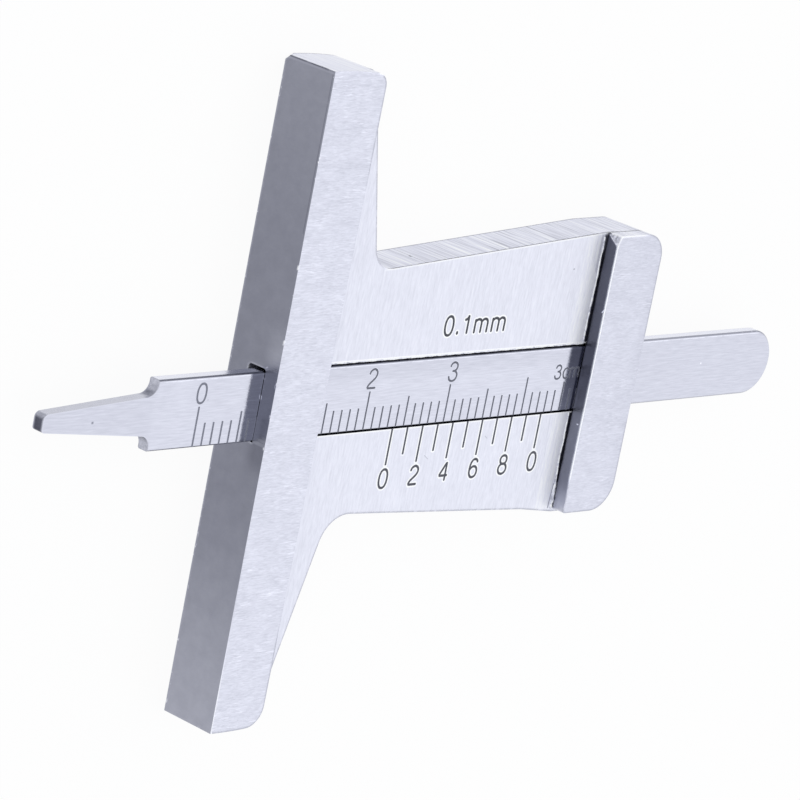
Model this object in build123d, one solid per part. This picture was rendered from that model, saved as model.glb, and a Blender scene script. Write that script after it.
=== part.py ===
from build123d import *
from math import cos, radians, sin
import os

# Vernier depth gauge, lying on its back with the scales up.
# X runs along the rule from the datum face (x = 0) towards the tail, Y runs along the base,
# and Z stands out of the scale side, with z = 0 on the back face.
# y = 0 is the middle of the rule. All sizes are in millimetres.

# Depth shown: how far the tip stands out of the datum face
reading = 23.85

# Rule, with a narrow measuring tip and a round tail
rule_length = 90.65
rule_width = 6.0
rule_thickness = 1.1
rule_edge_break = 0.12
tip_length = 11.95
tip_root_width = 3.25
tip_end_width = 1.48
tip_end_offset = 0.16
tip_upper_round = 0.5
tip_lower_round = 0.3
shoulder_round = 1.05
tail_upper_round = 2.9
tail_lower_round = 3.05

# Base: a bar across the whole front, finished by hand, so its rear edge and its ends are a little out of true
base_length = 56.5
base_upper_width = 6.32
base_lower_width = 5.87
base_thickness = 5.6
base_offset = 0.25
base_end_crown = 0.12
base_upper_drop = 0.3
base_lower_drop = 0.15
base_upper_round = 1.2
base_lower_round = 1.85
base_back_round = 0.08

# Facet filed on the back corner of the base's upper end: how far it reaches along each of the three edges
facet_on_datum = 0.45
facet_on_end = 1.0
facet_on_corner = 0.5

# Plate: wings behind the base, the neck, and the flared body that carries the vernier
plate_thickness = 4.2
wing_upper_margin = 0.25
wing_lower_margin = 0.5
wing_upper_round = 1.5
wing_lower_round = 1.8
wing_depth = 10.98
neck_upper_round = 2.4
neck_lower_round = 3.0
neck_height = 21.2
neck_offset = 0.4
body_length = 46.1
body_height = 25.4
body_far_height = 25.55
body_offset = 0.59
body_upper_round = 2.25
body_lower_round = 2.7

# The plate's lower edge spreads a little below the bridge
spread_start = 35.6
spread = 0.28

# Bridge: a strap brazed across the far end of the body, with a filed corner and an eased one
bridge_width = 6.3
bridge_foot_chamfer = 0.15
bridge_facet_length = 1.0
bridge_facet_depth = 0.35
bridge_lower_round = 0.25

# Slot that guides the rule, and the running gaps round the rule
slot_depth = 2.0
slot_floor_round = 0.3
slot_front_round = 0.25
gap_below_rule = 0.08
gap_above_rule = 0.2
gap_before_rule = 0.04

# Bowed leaf spring behind the rule, in a shallow pocket of the slot's floor
spring_length = 24.0
spring_width = 4.4
spring_thickness = 0.2
spring_foot = 1.6
spring_corner_round = 0.8
pocket_depth = 0.3
pocket_gap = 0.2
spring_to_rule = 0.1

# Room past a face for a cut that goes right through, past the crowned ends for their trim, and beyond a facet
cut_run_out = 1.0
trim_clearance = 0.02
reach = 200.0

# Places that follow from the sizes
tip_x = -reading
tail_x = tip_x + rule_length
shoulder_x = tip_x + tip_length
wall_x = body_length - bridge_width
base_top_y = base_offset + base_length / 2
base_bottom_y = base_offset - base_length / 2
rule_front_z = plate_thickness - gap_before_rule
rule_back_z = rule_front_z - rule_thickness
slot_floor_z = plate_thickness - slot_depth
pocket_floor_z = slot_floor_z - pocket_depth
window_middle_x = (base_upper_width + wall_x) / 2


def both_edges(x, offset, height):
    """Upper and lower corner of the body at x, where it is so high and its middle is off the rule's by the offset."""
    return (x, offset + height / 2), (x, offset - height / 2)


def rounded(face, corners):
    """The face with the corner at each point rounded by the radius given with it."""
    for point, radius in corners:
        corner = face.vertices().sort_by_distance((*point, 0))[0]
        face = fillet(corner, radius)
    return face


def bar_rear_x(y):
    """Place of the front bar's rear edge, which runs a little askew."""
    return base_lower_width + (base_upper_width - base_lower_width) * (y - base_bottom_y) / base_length


def base_end(datum_y, rear_point, side):
    """One end of the base, bowed outwards a little: side is 1 for the upper end and -1 for the lower one."""
    rear_x, rear_y = rear_point
    middle = (rear_x / 2, (datum_y + rear_y) / 2 + side * base_end_crown)
    return ThreePointArc((0, datum_y), middle, rear_point)


def wing_corner(y, margin):
    """Corner where a wing meets the end of the base, the margin behind the front bar."""
    return bar_rear_x(y) + margin, y


upper_wing = wing_corner(base_top_y - base_upper_drop, wing_upper_margin)
lower_wing = wing_corner(base_bottom_y + base_lower_drop, wing_lower_margin)
upper_neck, lower_neck = both_edges(wing_depth, neck_offset, neck_height)
upper_wall, lower_wall = both_edges(wall_x, body_offset, body_height)
upper_far, lower_far = both_edges(body_length, body_offset, body_far_height)
spread_share = (spread_start - wing_depth) / (wall_x - wing_depth)
spread_corner = (spread_start, lower_neck[1] + spread_share * (lower_wall[1] - lower_neck[1]))
spread_wall, spread_far = (wall_x, lower_wall[1] - spread), (body_length, lower_far[1] - spread)


def sharp_outline():
    """Plan of the T with sharp corners: base, sloping wings, and the body that flares up to the bridge."""
    edges = Curve() + Line((0, base_bottom_y), (0, base_top_y))
    edges += base_end(base_top_y, upper_wing, 1)
    edges += base_end(base_bottom_y, lower_wing, -1)
    edges += Polyline(upper_wing, upper_neck, upper_wall, upper_far, spread_far, spread_wall, spread_corner,
                      lower_neck, lower_wing)
    return make_face(edges)


def plate_outline():
    """Plan of the plate, with its corners rounded."""
    return rounded(sharp_outline(), [
        (upper_wing, wing_upper_round),
        (lower_wing, wing_lower_round),
        (upper_neck, neck_upper_round),
        (lower_neck, neck_lower_round),
        (upper_far, body_upper_round),
        (spread_far, body_lower_round),
    ])


def bar_outline():
    """Plan of the base's front bar, which stands proud of the plate: it ends at its own rear edge."""
    above, below = base_top_y + cut_run_out, base_bottom_y - cut_run_out
    strip = make_face(Polyline((0, below), (bar_rear_x(below), below), (bar_rear_x(above), above), (0, above),
                               close=True))
    return rounded(sharp_outline() & strip, [
        ((base_upper_width, base_top_y), base_upper_round),
        ((base_lower_width, base_bottom_y), base_lower_round),
    ])


def end_trim():
    """A long block with two rounded back edges, which takes the edge off the back of the base's ends."""
    upper = base_top_y + base_end_crown + trim_clearance
    lower = base_bottom_y - base_end_crown - trim_clearance
    section = make_face(Polyline((lower, 0), (upper, 0), (upper, base_thickness), (lower, base_thickness),
                                 close=True))
    section = rounded(section, [((lower, 0), base_back_round), ((upper, 0), base_back_round)])
    return extrude(Plane.YZ * section, body_length + cut_run_out)


def slot():
    """Room for the rule, from end to end: its floor's edges are round, and in the base its upper front edge too."""
    lower_y, upper_y = -rule_width / 2 - gap_below_rule, rule_width / 2 + gap_above_rule
    section = make_face(Polyline((lower_y, slot_floor_z), (upper_y, slot_floor_z), (upper_y, plate_thickness),
                                 (lower_y, plate_thickness), close=True))
    section = rounded(section, [
        ((lower_y, slot_floor_z), slot_floor_round),
        ((upper_y, slot_floor_z), slot_floor_round),
    ])
    channel = extrude(Plane.YZ.offset(bar_rear_x(0)) * section, body_length + cut_run_out - bar_rear_x(0))
    section = rounded(section, [((upper_y, plate_thickness), slot_front_round)])
    return channel + extrude(Plane.YZ.offset(-cut_run_out) * section, bar_rear_x(0) + cut_run_out)


def spring_pocket():
    """Shallow recess in the slot's floor that keeps the spring under the window."""
    plan = RectangleRounded(spring_length + 2 * pocket_gap, spring_width + 2 * pocket_gap,
                            spring_corner_round + pocket_gap)
    return extrude(Pos(window_middle_x, 0, pocket_floor_z) * plan, slot_depth)


def beyond(first, second, third):
    """All that lies beyond the plane through three points, on the side from which they run anticlockwise."""
    along = second - first
    facet = Plane(origin=first, x_dir=along, z_dir=along.cross(third - first))
    return facet * Box(reach, reach, reach, align=(Align.CENTER, Align.CENTER, Align.MIN))


def filed_back_corner():
    """Corner that the facet takes off the back of the base's upper end, where it meets the datum face."""
    corner = Vector(0, base_top_y, 0)
    on_datum = corner - Vector(0, facet_on_datum, 0)
    on_end = corner + Vector(facet_on_end, base_end_crown, 0)
    on_corner = corner + Vector(0, 0, facet_on_corner)
    return beyond(on_datum, on_corner, on_end)


def make_frame():
    """Base, neck and body in one piece, with the slot and the spring's pocket cut in it."""
    plate = extrude(plate_outline(), plate_thickness)
    bar = extrude(Pos(0, 0, plate_thickness) * bar_outline(), base_thickness - plate_thickness)
    return ((plate + bar) & end_trim()) - filed_back_corner() - slot() - spring_pocket()


def filed_wall_corner(height):
    """Wedge beyond the slanted facet at the upper end of the bridge's wall."""
    foot = Vector(*upper_wall, plate_thickness)
    on_wall = foot + Vector(0, -bridge_facet_length, height)
    on_end = foot + Vector(bridge_facet_depth, 0, height)
    return beyond(foot, on_wall, on_end)


def make_bridge():
    """Strap over the rule, flush with the body's sides and far corners."""
    height = base_thickness - plate_thickness
    plan = make_face(Polyline(lower_wall, lower_far, upper_far, upper_wall, close=True))
    plan = rounded(plan, [
        (upper_far, body_upper_round),
        (lower_far, body_lower_round),
        (lower_wall, bridge_lower_round),
    ])
    strap = extrude(Pos(0, 0, plate_thickness) * plan, height)
    foot_edge = strap.edges().sort_by_distance((wall_x, body_offset, plate_thickness))[0]
    return chamfer(foot_edge, bridge_foot_chamfer) - filed_wall_corner(height)


def rule_side(side):
    """Half of the rule's outline, from the tip's end to the tail: side is 1 for the upper half, -1 for the lower."""
    root_y, edge = side * tip_root_width / 2, side * rule_width / 2
    tip_end = (tip_x, tip_end_offset + side * tip_end_width / 2)
    hollow_start = (shoulder_x - shoulder_round, root_y)
    hollow_end = (shoulder_x, root_y + side * shoulder_round)
    hollow_middle = (shoulder_x - shoulder_round * (1 - sin(radians(45))),
                     root_y + side * shoulder_round * (1 - cos(radians(45))))
    return [
        Line(tip_end, hollow_start),
        ThreePointArc(hollow_start, hollow_middle, hollow_end),
        Polyline(hollow_end, (shoulder_x, edge), (tail_x, edge)),
    ]


def make_depth_rule():
    """Flat rule: tapered tip, hollow-ground shoulders, a rounded tail and long edges broken."""
    upper_tip, lower_tip = (tip_x, tip_end_offset + tip_end_width / 2), (tip_x, tip_end_offset - tip_end_width / 2)
    upper_tail, lower_tail = (tail_x, rule_width / 2), (tail_x, -rule_width / 2)
    ends = [Line(upper_tip, lower_tip), Line(upper_tail, lower_tail)]
    plan = rounded(make_face(Curve() + rule_side(1) + rule_side(-1) + ends), [
        (upper_tip, tip_upper_round),
        (lower_tip, tip_lower_round),
        (upper_tail, tail_upper_round),
        (lower_tail, tail_lower_round),
    ])
    rule = extrude(Pos(0, 0, rule_back_z) * plan, rule_thickness)
    long_edges = rule.edges().filter_by(Axis.X).filter_by(lambda edge: edge.length > rule_length / 2)
    return chamfer(long_edges, rule_edge_break)


def make_friction_spring():
    """Leaf spring: two flat feet on the pocket's floor and a bow that reaches the rule's back."""
    near_x, far_x = window_middle_x - spring_length / 2, window_middle_x + spring_length / 2
    crest_z = rule_back_z - spring_to_rule

    def surface(foot_z, bow_z):
        near_foot, far_foot = (near_x + spring_foot, foot_z), (far_x - spring_foot, foot_z)
        return [
            Line((near_x, foot_z), near_foot),
            ThreePointArc(near_foot, (window_middle_x, bow_z), far_foot),
            Line(far_foot, (far_x, foot_z)),
        ]

    top_z = pocket_floor_z + spring_thickness
    edges = Curve() + surface(pocket_floor_z, crest_z - spring_thickness) + surface(top_z, crest_z)
    edges += Line((near_x, pocket_floor_z), (near_x, top_z))
    edges += Line((far_x, pocket_floor_z), (far_x, top_z))
    strip = extrude(Plane.XZ * make_face(edges), spring_width / 2, both=True)
    plan = RectangleRounded(spring_length, spring_width, spring_corner_round)
    return strip & extrude(Pos(window_middle_x, 0, 0) * plan, base_thickness)


parts = {
    "frame": make_frame(),
    "bridge": make_bridge(),
    "depth_rule": make_depth_rule(),
    "friction_spring": make_friction_spring(),
}

os.makedirs("parts", exist_ok=True)
for name, part in parts.items():
    export_step(part, f"parts/{name}.step")
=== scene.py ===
from functools import reduce
import bpy
import numpy as np
from mathutils import Matrix, Vector


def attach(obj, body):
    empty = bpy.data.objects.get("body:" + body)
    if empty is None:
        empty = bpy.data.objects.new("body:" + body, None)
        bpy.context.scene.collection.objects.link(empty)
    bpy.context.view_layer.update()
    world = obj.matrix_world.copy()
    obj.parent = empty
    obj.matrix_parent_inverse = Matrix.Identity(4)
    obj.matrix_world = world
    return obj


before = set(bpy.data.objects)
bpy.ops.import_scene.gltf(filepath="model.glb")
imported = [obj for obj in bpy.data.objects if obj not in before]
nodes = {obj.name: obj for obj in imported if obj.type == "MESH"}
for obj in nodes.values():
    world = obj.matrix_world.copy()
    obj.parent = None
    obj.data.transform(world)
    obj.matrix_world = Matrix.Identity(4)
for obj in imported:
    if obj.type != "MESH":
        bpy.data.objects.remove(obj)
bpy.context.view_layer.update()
print("loaded", ", ".join(sorted(nodes)))

# The gauge lies on its back: x runs along the rule from the datum face, y along the base, z out of
# the scales. Lengths in the dictionaries below are mm, and the meshes are made in metres.
metresPerMm = 0.001


def addObject(name, data):
    added = bpy.data.objects.new(name, data)
    bpy.context.scene.collection.objects.link(added)
    return added


def addMesh(name, points, faces, material=None):
    mesh = bpy.data.meshes.new(name)
    mesh.from_pydata(points, [], faces)
    if material:
        mesh.materials.append(material)
    return addObject(name, mesh)


# Camera

cameraSettings = {
    "place": (-263.794, 96.972, 246.723),
    "lookAlong": (0.73194, -0.25418, -0.63218),
    "up": (0.0627, 0.949, -0.30897),
    "lens": 205.785,
    "clipMetres": (0.01, 20.0),
}


def makeCamera(settings):
    # The camera's own axes as columns: right is look x up, then up, then back along the look
    look, up = Vector(settings["lookAlong"]).normalized(), Vector(settings["up"]).normalized()
    right = look.cross(up).normalized()
    turned = Matrix((right, right.cross(look), -look)).transposed().to_4x4()
    data = bpy.data.cameras.new("camera")
    data.lens = settings["lens"]
    data.clip_start, data.clip_end = settings["clipMetres"]
    camera = addObject("camera", data)
    camera.matrix_world = Matrix.Translation(Vector(settings["place"]) * metresPerMm) @ turned
    bpy.context.scene.camera = camera


makeCamera(cameraSettings)
print("camera set")


# Node helpers

def clearTree(owner):
    # The empty node tree of a new material or world
    owner.use_nodes = True
    owner.node_tree.nodes.clear()
    return owner.node_tree


def addNode(kind, inputs=None, tree=None, **settings):
    # One node, in the given tree or that of the sockets that feed it: its settings first, then
    # each input is linked to a socket or given a plain value
    inputs = inputs or {}
    sockets = [value for value in inputs.values() if isinstance(value, bpy.types.NodeSocket)]
    tree = tree or sockets[0].id_data
    node = tree.nodes.new("ShaderNode" + kind)
    for name, value in settings.items():
        setattr(node, name, value)
    for name, value in inputs.items():
        if value in sockets:
            tree.links.new(value, node.inputs[name])
        else:
            node.inputs[name].default_value = value
    return node


def maths(operation, first, second=0.0, third=0.0):
    return addNode("Math", {0: first, 1: second, 2: third}, operation=operation).outputs[0]


def sizeOf(value):
    return maths("ABSOLUTE", value)


def larger(first, second):
    return maths("MAXIMUM", first, second)


def both(first, second):
    return maths("MULTIPLY", first, second)


def between(amount, first, second):
    # first where amount is 0, second where it is 1
    return addNode("Mix", {0: amount, 2: first, 3: second}, data_type="FLOAT").outputs[0]


def rise(value, start, end, low=0.0, high=1.0):
    # Smooth step: low up to start, high from end on
    return addNode("MapRange", {"Value": value, "From Min": start, "From Max": end, "To Min": low,
                                "To Max": high}, interpolation_type="SMOOTHSTEP").outputs["Result"]


def band(value, start, end, soft):
    # 1 from start to end, and 0 past them by the soft width
    return both(rise(value, start - soft, start), rise(value, end + soft, end))


def wavy(value, pattern, amount):
    # The value with its level lines bent by the pattern
    return maths("MULTIPLY_ADD", pattern, amount, value)


def varied(value, pattern, amount):
    # value times 1 plus amount times the pattern
    return both(value, maths("MULTIPLY_ADD", pattern, amount, 1.0))


def grain(mm, stretch, detail=3.0, roughness=0.6, warp=0.0):
    # Noise from -1 to 1 with so many features to the millimetre along x, y and z: few along an
    # axis draws lines along it
    scaled = addNode("VectorMath", {0: mm, 1: stretch}, operation="MULTIPLY")
    noise = addNode("TexNoise", {"Vector": scaled.outputs[0], "Scale": 1.0, "Detail": detail,
                                 "Roughness": roughness, "Distortion": warp})
    return addNode("MapRange", {"Value": noise.outputs[0], "From Min": 0.3, "From Max": 0.7,
                                "To Min": -1.0, "To Max": 1.0}, clamp=False).outputs["Result"]


def findRegions(field, regions):
    # Adds each region's mask to the fields: the product of its spans in a list, or the largest in a
    # tuple. A span is the name of a field or an earlier region, alone or with numbers: two say
    # where it starts to count and where it fully does, four also give the values there, and three
    # are a band's start, end and soft width.
    def measured(span):
        source, *numbers = [span] if isinstance(span, str) else span
        step = band if len(numbers) == 3 else rise
        return step(field[source], *numbers) if numbers else field[source]

    for name, spans in regions.items():
        join = larger if isinstance(spans, tuple) else both
        field[name] = reduce(join, [measured(span) for span in spans])
    return field


def layered(tone, field, layers):
    # The tone with its layers in order. A field and an amount multiply it by 1 plus that much of
    # the field. A region, a tone and a share cover it there, and a field may be that tone.
    for name, value, *share in layers:
        if share:
            tone = between(both(field[name], *share), tone, field.get(value, value))
        else:
            tone = varied(tone, field[name], value)
    return tone


# Grinding and brushing

handBrush = {
    "streaks": (1.5, 9.0, 9.0), "patches": (0.4, 0.9, 0.9), "patchShare": 0.4,
    "dashes": (0.8, 8.5, 8.5), "dashLevels": (0.4, 0.75), "dashShare": 1.5,
    "clusters": (0.22, 0.35, 0.35), "clusterLevels": (-0.1, 0.6),
}

wheelLines = {
    "cutsFiner": 1.7, "cutLevels": (0.5, 1.1), "glintsFiner": 1.3, "glintLevels": (0.35, 0.8),
    "clustersFiner": 0.12, "clusterLevels": (-0.3, 0.3),
    "alongX": (0.3, 4.6, 0.13), "alongY": (4.6, 0.3, 0.13), "sideCuts": 0.9, "sideGlints": 0.5,
    "endOn": (0.6, 0.8),
}


def handBrushing(mm, brush):
    # Short wavy strokes along x: fine streaks, slow patches, and bright dashes where the dashes'
    # own clusters are
    streaks = grain(mm, brush["streaks"], detail=3.0, roughness=0.65, warp=0.5)
    patches = grain(mm, brush["patches"], detail=3.0)
    dashes = grain(mm, brush["dashes"], detail=1.0)
    clusters = grain(mm, brush["clusters"], detail=1.0)
    bright = both(rise(dashes, *brush["dashLevels"]), rise(clusters, *brush["clusterLevels"]))
    pattern = wavy(streaks, patches, brush["patchShare"])
    return wavy(pattern, bright, brush["dashShare"])


def groundLines(mm, stretch, cutShare, glintShare):
    # Lines of a grinding wheel: fine ones of every depth, less a few deep dark ones, plus bright
    # ones in clusters
    def spots(finer, levels):
        scaled = [finer * size for size in stretch]
        return rise(grain(mm, scaled, detail=1.0), *levels)

    lines = grain(mm, stretch, detail=2.0, roughness=0.6)
    cuts = spots(wheelLines["cutsFiner"], wheelLines["cutLevels"])
    glints = spots(wheelLines["glintsFiner"], wheelLines["glintLevels"])
    clusters = spots(wheelLines["clustersFiner"], wheelLines["clusterLevels"])
    lines = wavy(lines, cuts, -cutShare)
    return wavy(lines, both(glints, clusters), glintShare)


def sideGrinding(mm, nx):
    # Wheel lines that cross the sides from front to back, and the faces that look along x likewise
    shares = wheelLines["sideCuts"], wheelLines["sideGlints"]
    sides = groundLines(mm, wheelLines["alongY"], *shares)
    ends = groundLines(mm, wheelLines["alongX"], *shares)
    return between(rise(sizeOf(nx), *wheelLines["endOn"]), sides, ends)


def mark(first, second, start, end, width):
    # 1 on the straight line from start to end in the plane of two places, 0 past its width: u runs
    # along it and v across
    length = float(np.hypot(*np.subtract(end, start)))
    forward = [float(step) for step in np.subtract(end, start) / max(length, 1e-6)]
    right = maths("SUBTRACT", first, start[0])
    up = maths("SUBTRACT", second, start[1])
    u = maths("MULTIPLY_ADD", right, forward[0], both(up, forward[1]))
    v = maths("MULTIPLY_ADD", right, -forward[1], both(up, forward[0]))
    within = both(rise(u, -width, 0.0), rise(u, length + width, length))
    return both(rise(sizeOf(v), width, 0.4 * width), within)


def marked(tone, first, second, marks):
    # The tone with its marks, handling marks and some painted shade: each is a start, an end, a
    # width, its own tone and its share
    for start, end, width, markTone, share in marks:
        line = both(mark(first, second, start, end, width), share)
        tone = between(line, tone, markTone)
    return tone


# Steel

steelSettings = {
    # The cool greys of ground steel in a studio: a tone gives the one that has it for its red
    "greys": [
        (0.021, 0.023, 0.038), (0.091, 0.095, 0.127), (0.250, 0.258, 0.314),
        (0.503, 0.515, 0.597), (0.807, 0.823, 0.930), (0.960, 0.975, 1.000),
    ],
    # Tones are given as they look, faces take this share of them, and only edges are brighter
    "faceShare": 0.889,
    # How well a rounded normal agrees with the face where an edge starts and where it is full
    "edgeAgreement": (0.998, 0.92), "edgeSamples": 6,
    # Tone, share and radius for metal whose edges don't stand out
    "plainEdge": (1.0, 0.0, 0.01),
}


def newSteel(name):
    # A material with its place in millimetres, the same split into x, y and z, and how far its
    # faces look along each axis
    material = bpy.data.materials.new(name)
    source = addNode("TexCoord", tree=clearTree(material)).outputs
    mm = addNode("VectorMath", {0: source["Object"], "Scale": 1.0 / metresPerMm},
                 operation="SCALE").outputs[0]
    place = addNode("SeparateXYZ", {0: mm}).outputs
    facing = addNode("SeparateXYZ", {0: source["Normal"]}).outputs
    return material, mm, place, facing


def steelSurface(tone, edge, roughness, metallic, height, relief):
    # Metal of that tone. Along its edges the tone is painted over with the edge's tone, light for a
    # painted highlight and dark for painted shade, by its share and within its radius; the relief
    # presses in the height pattern
    paintedEdgeTone, edgeShare, edgeRadius = edge
    tree = height.id_data
    rounded = addNode("Bevel", {"Radius": edgeRadius * metresPerMm}, tree,
                      samples=steelSettings["edgeSamples"]).outputs[0]
    flat = addNode("NewGeometry", tree=tree).outputs["Normal"]
    agreement = addNode("VectorMath", {0: rounded, 1: flat}, operation="DOT_PRODUCT").outputs[1]
    nearEdge = rise(agreement, *steelSettings["edgeAgreement"])
    faceTone = both(tone, steelSettings["faceShare"])
    shaded = between(both(nearEdge, edgeShare), faceTone, paintedEdgeTone)
    ramp = addNode("ValToRGB", {0: shaded})
    stops = ramp.color_ramp.elements
    stops.remove(stops[1])
    for k, grey in enumerate(steelSettings["greys"]):
        stop = stops.new(grey[0]) if k else stops[0]
        stop.position, stop.color = grey[0], (*grey, 1.0)
    bump = addNode("Bump", {"Height": height, "Distance": relief * metresPerMm, "Strength": 1.0})
    shader = addNode("BsdfPrincipled", {"Base Color": ramp.outputs[0], "Metallic": metallic,
                                        "Roughness": roughness, "Normal": bump.outputs[0]})
    addNode("OutputMaterial", {0: shader.outputs[0]})


def giveMaterial(piece, material):
    piece.data.materials.clear()
    piece.data.materials.append(material)


# Frame: base bar, neck and body in one piece

frameFinish = {
    "plateTone": 0.865, "barTone": 0.745, "sideTone": 0.875, "endTone": 0.95, "datumPaintedReflectionTone": 0.268,
    "slotShadeTone": 0.20, "footShadeTone": 0.03, "footUpperShadeTone": 0.12, "datumTopHighlightTone": 0.36,
    "plateRoughness": 0.36, "barRoughness": 0.40, "sideRoughness": 0.42, "datumRoughness": 0.30,
    "plateMetal": 0.3, "relief": 0.004,
    "paintedEdgeTone": 0.40, "chipHighlightTone": 0.93, "chipGapShade": 0.17, "edgeRadius": 0.34,
    # Patterns: features to the millimetre
    "plateLines": (5.0, 0.42, 0.6), "plateCuts": 0.7, "plateGlints": 0.6,
    "plateGrain": (5.5, 1.2, 1.0), "lapped": (1.0, 0.7, 0.7), "clouds": (0.10, 0.10, 0.10),
    "ragged": (1.7, 1.7, 1.7), "chipGrain": (2.2, 1.1, 2.2), "speckGrain": (2.2, 1.6, 2.2),
    "slotMiddle": 0.09, "wavyFoot": 0.03, "wavyLip": 0.02, "brushing": 0.115, "endGrinding": 0.1,
    "clouding": 0.010, "roughLapping": 0.08,
    "plateLayers": [("plateLines", 0.045), ("plateGrain", 0.045)],
    "footLayers": [("footShadow", 0.60, 0.8), ("footPaintedLight", 0.12), ("slotLipHighlight", 1.08, 0.9)],
    "sideLayers": [("backEdge", 0.40, 1.0), ("topLine", 0.16, 1.0), ("slotSides", 0.04, 1.0)],
    "datumLayers": [("datumLow", 0.42, 1.0), ("datumHigh", 0.310, 1.0), ("underRule", 0.195, 1.0),
                    ("overRule", 0.36, 1.0), ("lapped", 0.07)],
    "edgeLayers": [("light", 0.97, 1.0), ("sideTop", 0.10, 1.0), ("datumEdge", "datumEdgeHighlight", 1.0),
                   ("backSpecks", 0.93, 1.0), ("datumCornerShadow", 0.10, 1.0)],
    "edgePaintLayers": [("hidden", -1.0), ("frontLip", "anyChips", 1.0), ("lowDatumEdge", -1.0),
                   ("barTopFront", -0.75), ("seamGaps", -0.6)],
    "regions": {
        # Faces
        "front": [("nz", 0.5, 0.8)],
        "notBack": [("nz", -0.8, -0.5)],
        "sideways": [("sizeNy", 0.5, 0.8)],
        "raised": [("z", 4.85, 4.95)],
        "datum": [("x", 0.03, 0.01)],
        # Plate: at the bridge's foot a painted shadow, painted light and black painted shade, and a
        # painted highlight along the slot's edges
        "footShadow": [("wavyX", 39.18, 39.34, 0.12), ("y", 10.0, 12.9, 0.6)],
        "footPaintedLight": [("x", 37.8, 39.2, 0.8)],
        "foot": [("wavyX", 39.51, 39.57), ("y", -9.5, 12.9, 0.4)],
        "footUpper": [("y", 11.0, 12.2)],
        "slotLipHighlight": [("fromMiddle", 3.29, 3.24), ("x", 39.6, 39.4)],
        # Sides: ground less deep on the back, with painted shade along the back edge and a dark
        # line near the top
        "grinding": [("nz", -0.8, -0.5, 0.125, 0.25)],
        "barEnd": [("x", 6.6, 6.2), "notBack"],
        "backEdge": [("z", 0.17, 0.08), ("ragged", -0.9, 0.1, 0.55, 0.9), "notBack"],
        "topLine": [("z", 4.10, 4.22, 0.05), ("y", 8.0, 9.0), ("x", 41.0, 40.2),
                    ("y", 26.0, 22.0), ("ragged", -0.7, 0.3, 0.25, 0.95)],
        # Inside the slot: painted shade, black on its walls and ceiling and dark on its floor
        "inSlot": [("sizeY", 3.27, 3.25), ("z", 4.19, 4.17), ("z", 1.70, 1.75)],
        "slotCeiling": [("nz", -0.5, -0.8), ("z", 1.0, 2.0)],
        "slotSides": ("inSlot", "slotCeiling"),
        "slotFloor": ["inSlot", "front"],
        # Datum face: a painted dark reflection, lighter towards both ends, darker beside the slot
        # below the rule and lighter above it, with a painted highlight line near its upper end
        "datumLow": [("y", -7.0, -30.0)],
        "datumHigh": [("y", 12.0, 29.0)],
        "underRule": [("y", -6.5, -4.0), ("y", -3.0, -3.2), ("z", 3.2, 4.6)],
        "overRule": [("y", 3.1, 4.2), ("y", 7.5, 4.8), ("z", 3.4, 5.2)],
        "datumTopLine": [("y", 28.24, 28.34, 0.04)],
        # Edges: painted highlights beside the slot, along the upper front and the bar's top,
        # painted highlights and a painted dark line on the datum face's edges, and a painted shadow
        # at its upper corner
        "besideSlot": ["front", ("z", 4.4, 4.3), ("sizeY", 3.7, 3.5)],
        "upperFront": ["front", ("y", 10.4, 10.8), ("x", 11.0, 12.5)],
        "barTop": ["raised", ("y", 28.0, 28.2)],
        "light": ("upperFront", "barTop", "besideSlot"),
        "sideTop": ["sideways", ("y", 5.0, 8.0), ("z", 3.9, 4.0)],
        "lowLine": [("y", -9.0, -25.0)],
        "chips": [("chipGrain", 0.38, 0.75), ("y", -12.0, -9.0)],
        "anyChips": ("chips", "lowLine"),
        "datumEdge": [("x", 0.25, 0.15), ("z", 3.9, 4.5), ("y", 28.42, 28.38)],
        "backSpecks": ["datum", ("z", 0.5, 0.4), ("speckGrain", 0.55, 0.85)],
        "datumCornerShadow": ["datum", ("y", 28.35, 28.42)],
        # The share of the painted edge tones, ragged along the edges
        "worn": [("ragged", -0.9, 0.1, 0.45, 1.0)],
        "barRear": ["raised", ("x", 5.6, 5.8), ("sizeY", 21.0, 18.0)],
        "jointEnd": ["sideTop", ("x", 40.6, 41.8)],
        "hidden": ("barRear", "jointEnd"),
        "frontLip": ["raised", ("x", 0.6, 0.5)],
        "lowDatumEdge": ["datumEdge", "datum", ("y", -6.0, -10.0)],
        "barTopFront": ["barTop", ("x", 5.4, 5.0)],
        "seamGaps": ["sideTop", ("x", 39.9, 40.1), ("ragged", -0.2, 0.4)],
    },
    "plateMarks": [
        ((36.2, 10.1), (36.3, 10.1), 0.10, 0.50, 0.9),
        ((21.5, -5.8), (22.0, -6.15), 0.07, 0.60, 0.8),
        ((28.9, -4.6), (29.2, -4.8), 0.07, 0.60, 0.8),
        ((39.44, -9.8), (39.29, -12.0), 0.09, 0.30, 0.9),
        # Along the plate's lower edge near the wall: a darker band, painted shade
        ((37.0, -12.2), (39.6, -12.33), 0.16, 0.45, 0.5),
        ((12.0, 11.03), (39.5, 13.21), 0.10, 1.05, 0.4),
    ],
    "sideMarks": [
        ((17.1, 0.2), (17.08, 4.1), 0.07, 0.45, 0.9), ((17.24, 0.6), (17.22, 4.1), 0.06, 0.97, 0.9),
        ((17.02, 2.15), (17.02, 2.3), 0.14, 0.15, 1.0),
    ],
    "datumMarks": [
        ((3.30, 4.15), (3.42, 4.32), 0.08, 0.62, 0.7),
        ((3.25, 4.25), (3.32, 5.4), 0.06, 0.40, 0.45),
        ((15.0, 5.42), (28.2, 5.42), 0.07, 0.14, 0.5),
    ],
}


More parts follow.
